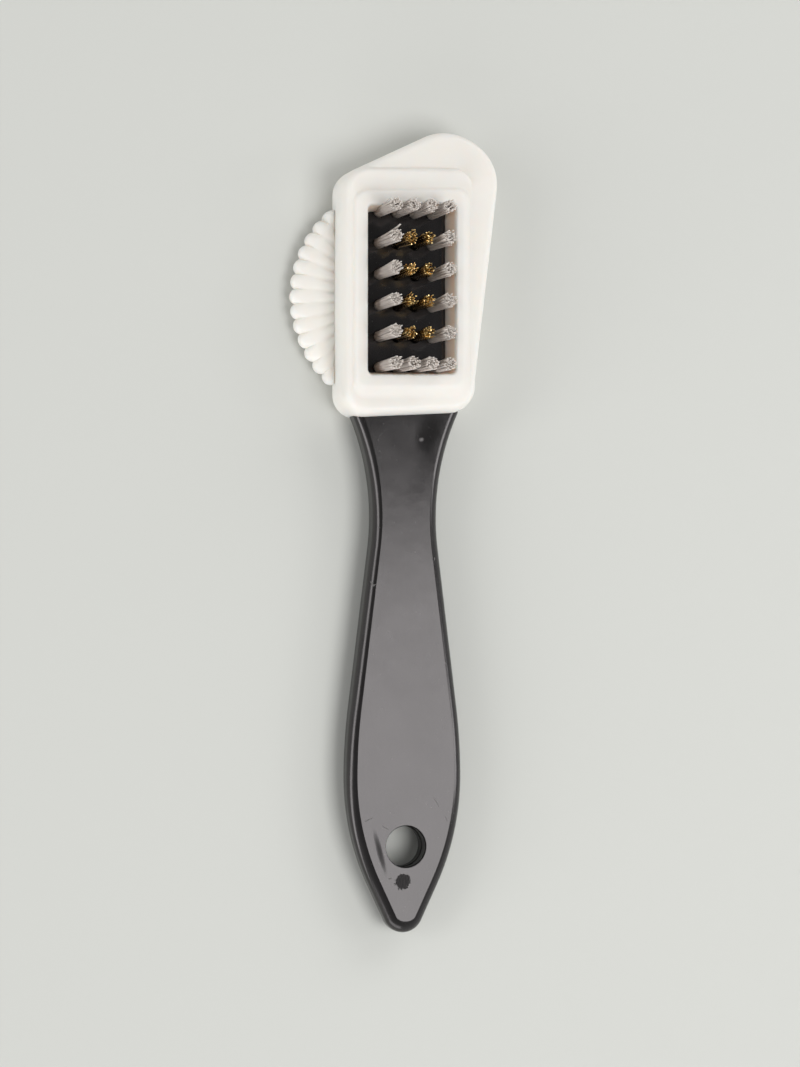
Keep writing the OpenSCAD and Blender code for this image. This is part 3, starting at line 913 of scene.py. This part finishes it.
def extruded_nylon(f):
    """Drawn nylon 6 filament: smooth, milky and half see-through, so that light goes from one
    filament to the next, and painted lighter over its top quarter, where the tips stand in the
    light."""
    material, tree, shader = new_material(
        "nylon_filament_off_white", {"IOR": 1.53, "Roughness": 0.35}
    )
    milky = ramp(tree, attribute(tree, "strand_shade"), 0.0, 1.0, 0.0, 0.35)
    # Painted light: each filament grows lighter over its top quarter
    lit_tip_share = ramp(tree, attribute(tree, "strand_height"), 0.75, 1.0)
    share = calculate(tree, "ADD", milky, lit_tip_share, clamp=True)
    tone = blend(tree, share, linear(f.nylon), linear(f.nylon_lit_tip))
    fill(shader, {"Base Color": tone})
    through = add_node(tree, "ShaderNodeBsdfTranslucent", {"Color": tone}).outputs["BSDF"]
    both = add_node(tree, "ShaderNodeMixShader", {0: 0.5, 1: shader.outputs["BSDF"], 2: through})
    fill(tree.nodes["Material Output"], {"Surface": both.outputs["Shader"]})
    return material


def crimped_brass(f):
    """Hard drawn brass wire, crimped between gears: bright at its tips, some wires more than
    others, and painted dark brown lower down as shade, where the wires stand in shadow."""
    material, tree, shader = new_material(
        "crimped_brass_wire", {"Metallic": 1.0, "Roughness": 0.27}
    )
    # Painted shade: the wires fade from bright brass at the tip to dark brown lower down
    lit_share = ramp(tree, attribute(tree, "strand_height"), 0.55, 0.97)
    share = calculate(tree, "MULTIPLY_ADD", attribute(tree, "strand_shade"), 0.35, lit_share)
    fill(shader, {"Base Color": blend(tree, share, linear(f.brass_painted_shade), linear(f.brass))})
    return material


def tinned_wire(f):
    """Flat tinned steel wire: a soft grey metal with drawing marks, 0.3 mm apart."""
    material, tree, shader = new_material(
        "tinned_steel_flat_wire", {"Metallic": 1.0, "Base Color": linear(f.anchor)}
    )
    marks = noise(tree, object_place(tree), 3000)
    fill(shader, {"Roughness": ramp(tree, marks, 0.0, 1.0, 0.3, 0.5)})
    return material


def studio_floor(f):
    """Matt pale paper, which keeps the brush's shadow."""
    return new_material("pale_backdrop_paper", {"Roughness": 0.9, "Base Color": linear(f.floor)})[0]


# Operators


class MakeHandle(bpy.types.Operator):
    """Builds the handle with its head plate, hang hole and tuft holes"""

    bl_idname = "brush.make_handle"
    bl_label = "Make handle"

    def execute(self, context):
        s = settings()
        shaft = handle_shaft(s.boot, s.handle)
        plate_top = s.boot.floor_z
        plate = plate_rings(s.boot, s.handle, 0, plate_top - s.handle.plate_t, plate_top)
        combine(shaft, skin("head_plate", plate), "UNION")
        combine(shaft, hang_hole_cutter(s.handle), "DIFFERENCE")
        combine(shaft, tuft_hole_cutter(s.bristles, plate_top), "DIFFERENCE")
        shaft.name = "moulded_handle"
        smooth(shaft, 9)
        finish_piece(shaft, "handle", moulded_black_plastic(s.finishes))
        return {"FINISHED"}


class MakeBoot(bpy.types.Operator):
    """Builds the rubber boot with its lip, ribbed bump and fin"""

    bl_idname = "brush.make_boot"
    bl_label = "Make boot"

    def execute(self, context):
        s = settings()
        boot = boot_block(s.boot)
        combine(boot, boot_bump(s.boot), "UNION")
        combine(boot, boot_fin(s.boot), "UNION")
        plate_top = s.boot.floor_z
        cavity_z = plate_top - s.handle.plate_t - BOOT_GAP
        cavity = plate_rings(s.boot, s.handle, BOOT_GAP, cavity_z, plate_top)
        combine(boot, skin("cavity", cavity), "DIFFERENCE")
        combine(boot, skin("slot", entry_rings(s.boot, s.handle, BOOT_GAP)), "DIFFERENCE")
        boot.name = "moulded_boot"
        smooth(boot, 30)
        finish_piece(boot, "rubber_boot", moulded_white_rubber(s.finishes))
        return {"FINISHED"}


class MakeTufts(bpy.types.Operator):
    """Builds every nylon and brass tuft and dresses the anchors under them"""

    bl_idname = "brush.make_tufts"
    bl_label = "Make tufts"

    def execute(self, context):
        s = settings()
        b = s.bristles
        floor_z = s.boot.floor_z
        anchor_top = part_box("tuft_anchors")[1].z
        stray_place = (2, 1)
        stray = np.array([0.3, 1.0]) * MM
        kinds = {
            "nylon": (
                "filaments",
                (b.nylon_root, b.nylon_spread, b.nylon_lean),
                (anchor_top, floor_z, floor_z + b.nylon_l),
                (b.nylon_count, b.nylon_d, 6, 8),
                (MM, 0),
                extruded_nylon(s.finishes),
            ),
            "brass": (
                "wires",
                (b.brass_root, b.brass_spread, b.brass_lean),
                (anchor_top, floor_z, floor_z + b.brass_l),
                (b.brass_count, b.brass_d, 5, 44),
                (b.crimp_pitch, b.crimp_height),
                crimped_brass(s.finishes),
            ),
        }
        for row, column, x, y in tuft_places(b):
            kind = "brass" if f"brass_tuft_{row}_{column}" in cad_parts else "nylon"
            node = f"{kind}_tuft_{row}_{column}"
            strands, reach, heights, strand, crimp, material = kinds[kind]
            rng = np.random.default_rng(100 * row + column)
            piece = tuft_strands(
                f"{node}_{strands}",
                np.array([x, y]),
                reach,
                heights,
                strand,
                crimp,
                rng,
                stray if (row, column) == stray_place else None,
            )
            finish_piece(piece, node, material)
            smooth(piece, 60)
        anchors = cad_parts["tuft_anchors"]
        anchors.data.materials.clear()
        anchors.data.materials.append(tinned_wire(s.finishes))
        return {"FINISHED"}


class MakeStage(bpy.types.Operator):
    """Builds the pale floor, the soft lights and the camera"""

    bl_idname = "brush.make_stage"
    bl_label = "Make stage"

    def execute(self, context):
        scene = context.scene
        half = 2.0
        corners = np.array([[-half, -half, 0], [half, -half, 0], [half, half, 0], [-half, half, 0]])
        floor = new_piece("studio_floor", corners, [np.array([[0, 1, 2, 3]])])
        floor.data.materials.append(studio_floor(settings().finishes))
        self.add_camera(scene)
        self.add_lights(scene)
        self.add_world(scene)
        scene.view_settings.view_transform = "Standard"
        return {"FINISHED"}

    def add_camera(self, scene):
        """A camera turned round the brush's length and tipped a little, whose view is moved
        across so that the brush lies where the photograph shows it."""
        distance = 0.6
        round_length = math.radians(17.16)
        tip = math.radians(-1.95)
        across = Vector((1.59, 0.64, 0)) * MM
        aim = Vector((0, -52.5, 8.6)) * MM
        picture_height = 1067
        focal_pixels = 2759.8
        sensor = 36
        data = bpy.data.cameras.new("photo_camera")
        data.sensor_fit = "VERTICAL"
        data.sensor_height = sensor
        data.lens = sensor * focal_pixels / picture_height
        data.clip_start = 0.01
        camera = bpy.data.objects.new("photo_camera", data)
        turn = Matrix.Rotation(tip, 3, "X") @ Matrix.Rotation(round_length, 3, "Y")
        place = aim + turn.transposed() @ Vector((-across.x, -across.y, distance))
        camera.matrix_world = Matrix.Translation(place) @ turn.transposed().to_4x4()
        scene.collection.objects.link(camera)
        scene.camera = camera

    def add_lights(self, scene):
        """A large soft box high on the right, whose mirror image gives the handle its sheen, a
        small one low on the right and a long strip on the left for the lines along its edges,
        and a panel beyond either end that fills in."""
        aim = Vector((0, -0.04, 0))
        # Name, place, width and height in metres, and power in watts
        boxes = (
            ("sheen_soft_box", (0.33, -0.35, 1.0), 0.6, 0.68, 6.25),
            ("low_right_soft_box", (0.62, -0.125, 0.36), 0.16, 0.14, 0.33),
            ("foot_panel", (-0.5, -1.3, 0.42), 1.3, 0.5, 3.9),
            ("head_panel", (0.65, 0.85, 0.62), 1.0, 0.5, 3.6),
            ("left_strip", (-1.16, -0.35, 0.36), 0.34, 2.0, 8.3),
        )
        for name, place, width, height, power in boxes:
            data = bpy.data.lights.new(name, "AREA")
            data.shape = "RECTANGLE"
            data.size = width
            data.size_y = height
            data.energy = power
            lamp = bpy.data.objects.new(name, data)
            back = (Vector(place) - aim).normalized()
            side = (Vector((1, 0, 0)) - back * back.x).normalized()
            turn = Matrix((side, back.cross(side), back)).transposed()
            lamp.matrix_world = Matrix.Translation(place) @ turn.to_4x4()
            scene.collection.objects.link(lamp)

    def add_world(self, scene):
        """Even light that is pale near the horizon and dim overhead, which keeps the black
        plastic black where it mirrors the ceiling."""
        world = bpy.data.worlds.new("studio_world")
        world.use_nodes = True
        tree = world.node_tree
        way = object_place(tree)
        height = add_node(tree, "ShaderNodeSeparateXYZ", {"Vector": way}).outputs["Z"]
        strength = ramp(tree, height, 0.25, 0.8, 0.64, 0.17)
        fill(tree.nodes["Background"], {"Strength": strength, "Color": (1, 1, 1, 1)})
        scene.world = world


STEPS = (MakeHandle, MakeBoot, MakeTufts, MakeStage)


class BrushPanel(bpy.types.Panel):
    """Lists the steps that build the brush"""

    bl_idname = "VIEW3D_PT_brush"
    bl_label = "Suede brush"
    bl_space_type = "VIEW_3D"
    bl_region_type = "UI"
    bl_category = "Brush"

    def draw(self, context):
        for step in STEPS:
            self.layout.operator(step.bl_idname)


CLASSES = (BootSizes, HandleSizes, BristleSizes, Finishes, BrushSettings, *STEPS, BrushPanel)


def register():
    """Registers the classes and adds the settings to every scene."""
    for each in CLASSES:
        bpy.utils.register_class(each)
    bpy.types.Scene.brush_settings = PointerProperty(type=BrushSettings)


def unregister():
    """Takes the settings and the classes away again."""
    del bpy.types.Scene.brush_settings
    for each in reversed(CLASSES):
        bpy.utils.unregister_class(each)


def main():
    """Builds the brush and its stage."""
    register()
    bpy.ops.brush.make_handle()
    bpy.ops.brush.make_boot()
    bpy.ops.brush.make_tufts()
    bpy.ops.brush.make_stage()


if __name__ == "__main__":
    main()
